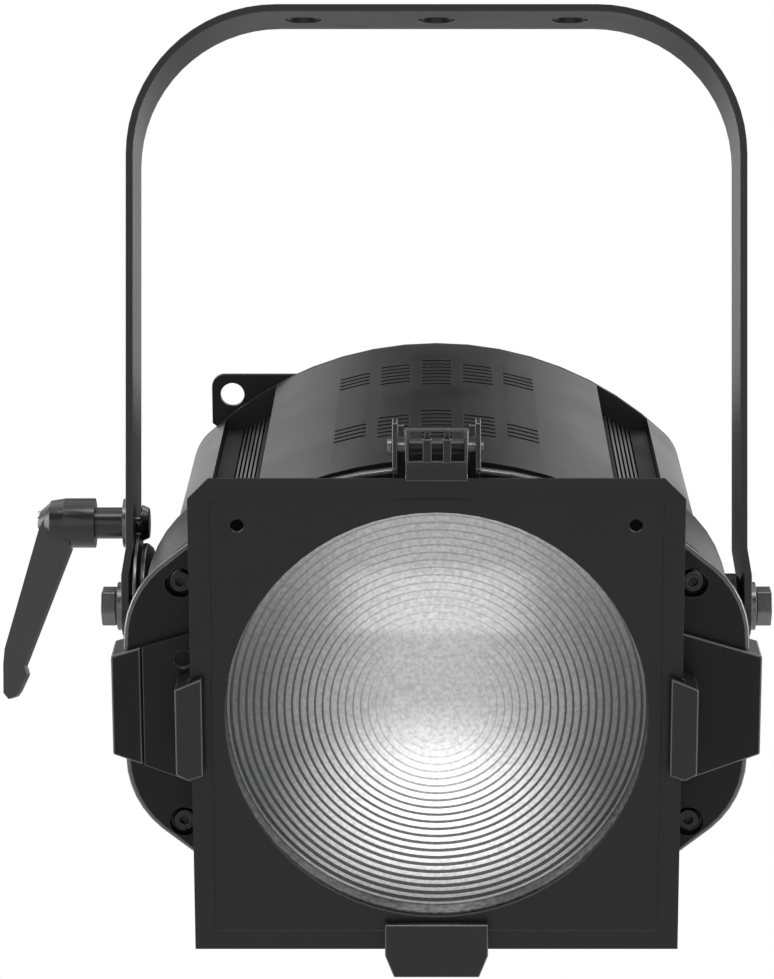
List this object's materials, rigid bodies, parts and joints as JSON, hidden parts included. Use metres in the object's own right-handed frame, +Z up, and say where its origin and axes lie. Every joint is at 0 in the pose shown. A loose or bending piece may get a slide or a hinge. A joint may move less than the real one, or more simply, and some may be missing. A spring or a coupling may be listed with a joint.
{
  "type": "fresnel spotlight",
  "caption": "Yoke-hung LED fresnel spotlight with a ridged lens, colour frame holder, vented drum body and tilt lock lever.",
  "frame": {"origin": "middle clamp hole of the yoke, on the outer face of its top bar", "axes": "+Z up, +X to the right as seen from the lens side, the lens faces -Y and is tilted down 16.5 degrees"},
  "size_m": [0.3275, 0.4048, 0.4018],
  "materials": {
    "black_paint": "satin black powder coat",
    "matt_black": "matt black paint",
    "black_anodised": "black anodised extrusion",
    "black_steel": "blackened steel",
    "zinc_steel": "bright zinc plate",
    "lens_glass": "moulded ridged glass",
    "display_glass": "dark tinted window",
    "black_plastic": "moulded black plastic",
    "plain_alloy": "machined alloy",
    "circuit_board": "green solder mask"
  },
  "bodies": {
    "yoke": {"yoke": "black_paint", "pivot_bolt_left": "black_steel", "pivot_bolt_right": "black_steel", "pivot_washer_left": "black_steel", "pivot_washer_right": "black_steel", "tilt_lock_bolt": "zinc_steel", "tilt_lock_washer": "black_steel"},
    "lock_lever": {"tilt_lock_lever": "black_paint", "lever_screw": "zinc_steel"},
    "head": {"tilt_friction_disc": "black_steel", "pivot_hub_left": "black_paint", "pivot_hub_right": "black_paint", "front_bezel": "black_paint", "bezel_screw_1": "black_steel", "bezel_screw_2": "black_steel", "bezel_screw_3": "black_steel", "bezel_screw_4": "black_steel", "fresnel_lens": "lens_glass", "lens_ring": "matt_black", "holder_arm_right": "black_paint", "holder_pod_left": "black_paint", "access_panel_left": "black_paint", "side_clip_left": "black_paint", "side_clip_right": "black_paint", "bottom_clip": "black_paint", "colour_frame": "black_paint", "latch_bracket": "black_paint", "latch_pin": "black_steel", "top_cover": "black_paint", "bottom_cover": "black_paint", "heat_sink_left": "black_anodised", "heat_sink_right": "black_anodised", "side_shell_left": "black_paint", "side_shell_right": "black_paint", "rear_end_plate": "matt_black", "safety_cable_tab": "black_paint", "rear_housing": "matt_black", "rear_panel": "black_paint", "display_window": "display_glass", "power_inlet": "black_plastic", "power_outlet": "black_plastic", "data_inlet": "zinc_steel", "data_outlet": "zinc_steel", "fuse_holder": "black_plastic", "guide_rod_left": "zinc_steel", "guide_rod_right": "zinc_steel", "zoom_motor": "black_steel", "fan_frame": "black_plastic", "driver_board": "circuit_board"},
    "latch": {"top_latch": "black_paint"},
    "carriage": {"zoom_carriage": "plain_alloy", "led_board": "circuit_board", "led_heat_sink": "plain_alloy"},
    "lead_screw": {"lead_screw": "zinc_steel"},
    "fan": {"fan_rotor": "black_plastic"},
    "button_1": {"menu_button_1": "black_plastic"},
    "button_2": {"menu_button_2": "black_plastic"},
    "button_3": {"menu_button_3": "black_plastic"},
    "button_4": {"menu_button_4": "black_plastic"}
  },
  "joints": [
    {"name": "head_tilt", "type": "hinge", "parent": "yoke", "child": "head", "pos_m": [0, 0, -0.2537], "axis": [1, 0, 0], "range_deg": [-106.5, 73.5]},
    {"name": "tilt_lock_turn", "type": "hinge", "parent": "yoke", "child": "lock_lever", "pos_m": [0, 0, -0.2182], "axis": [1, 0, 0], "range_deg": [-60, 60]},
    {"name": "top_latch_hinge", "type": "hinge", "parent": "head", "child": "latch", "pos_m": [0, -0.17384, -0.19496], "axis": [-1, 0, 0], "range_deg": [0, 90], "stiffness_Nm_per_rad": 0.02, "springref_deg": -20.05},
    {"name": "zoom_slide", "type": "slide", "parent": "head", "child": "carriage", "axis": [0, -0.9588, -0.284], "range_m": [0, 0.08]},
    {"name": "lead_screw_turn", "type": "hinge", "parent": "head", "child": "lead_screw", "pos_m": [0, 0.02045, -0.32274], "axis": [0, -0.9588, -0.284], "range_deg": [0, 3600]},
    {"name": "fan_spin", "type": "hinge", "parent": "head", "child": "fan", "pos_m": [0, 0, -0.2537], "axis": [0, 0.9588, 0.284], "continuous": true},
    {"name": "button_1_press", "type": "slide", "parent": "head", "child": "button_1", "axis": [0, -0.9588, -0.284], "range_m": [0, 0.0012], "stiffness_N_per_m": 800, "springref_m": -0.0005},
    {"name": "button_2_press", "type": "slide", "parent": "head", "child": "button_2", "axis": [0, -0.9588, -0.284], "range_m": [0, 0.0012], "stiffness_N_per_m": 800, "springref_m": -0.0005},
    {"name": "button_3_press", "type": "slide", "parent": "head", "child": "button_3", "axis": [0, -0.9588, -0.284], "range_m": [0, 0.0012], "stiffness_N_per_m": 800, "springref_m": -0.0005},
    {"name": "button_4_press", "type": "slide", "parent": "head", "child": "button_4", "axis": [0, -0.9588, -0.284], "range_m": [0, 0.0012], "stiffness_N_per_m": 800, "springref_m": -0.0005}
  ],
  "couplings": [
    {"joint": "lead_screw_turn", "follows": "zoom_slide", "rad_per_m": 785.4}
  ]
}
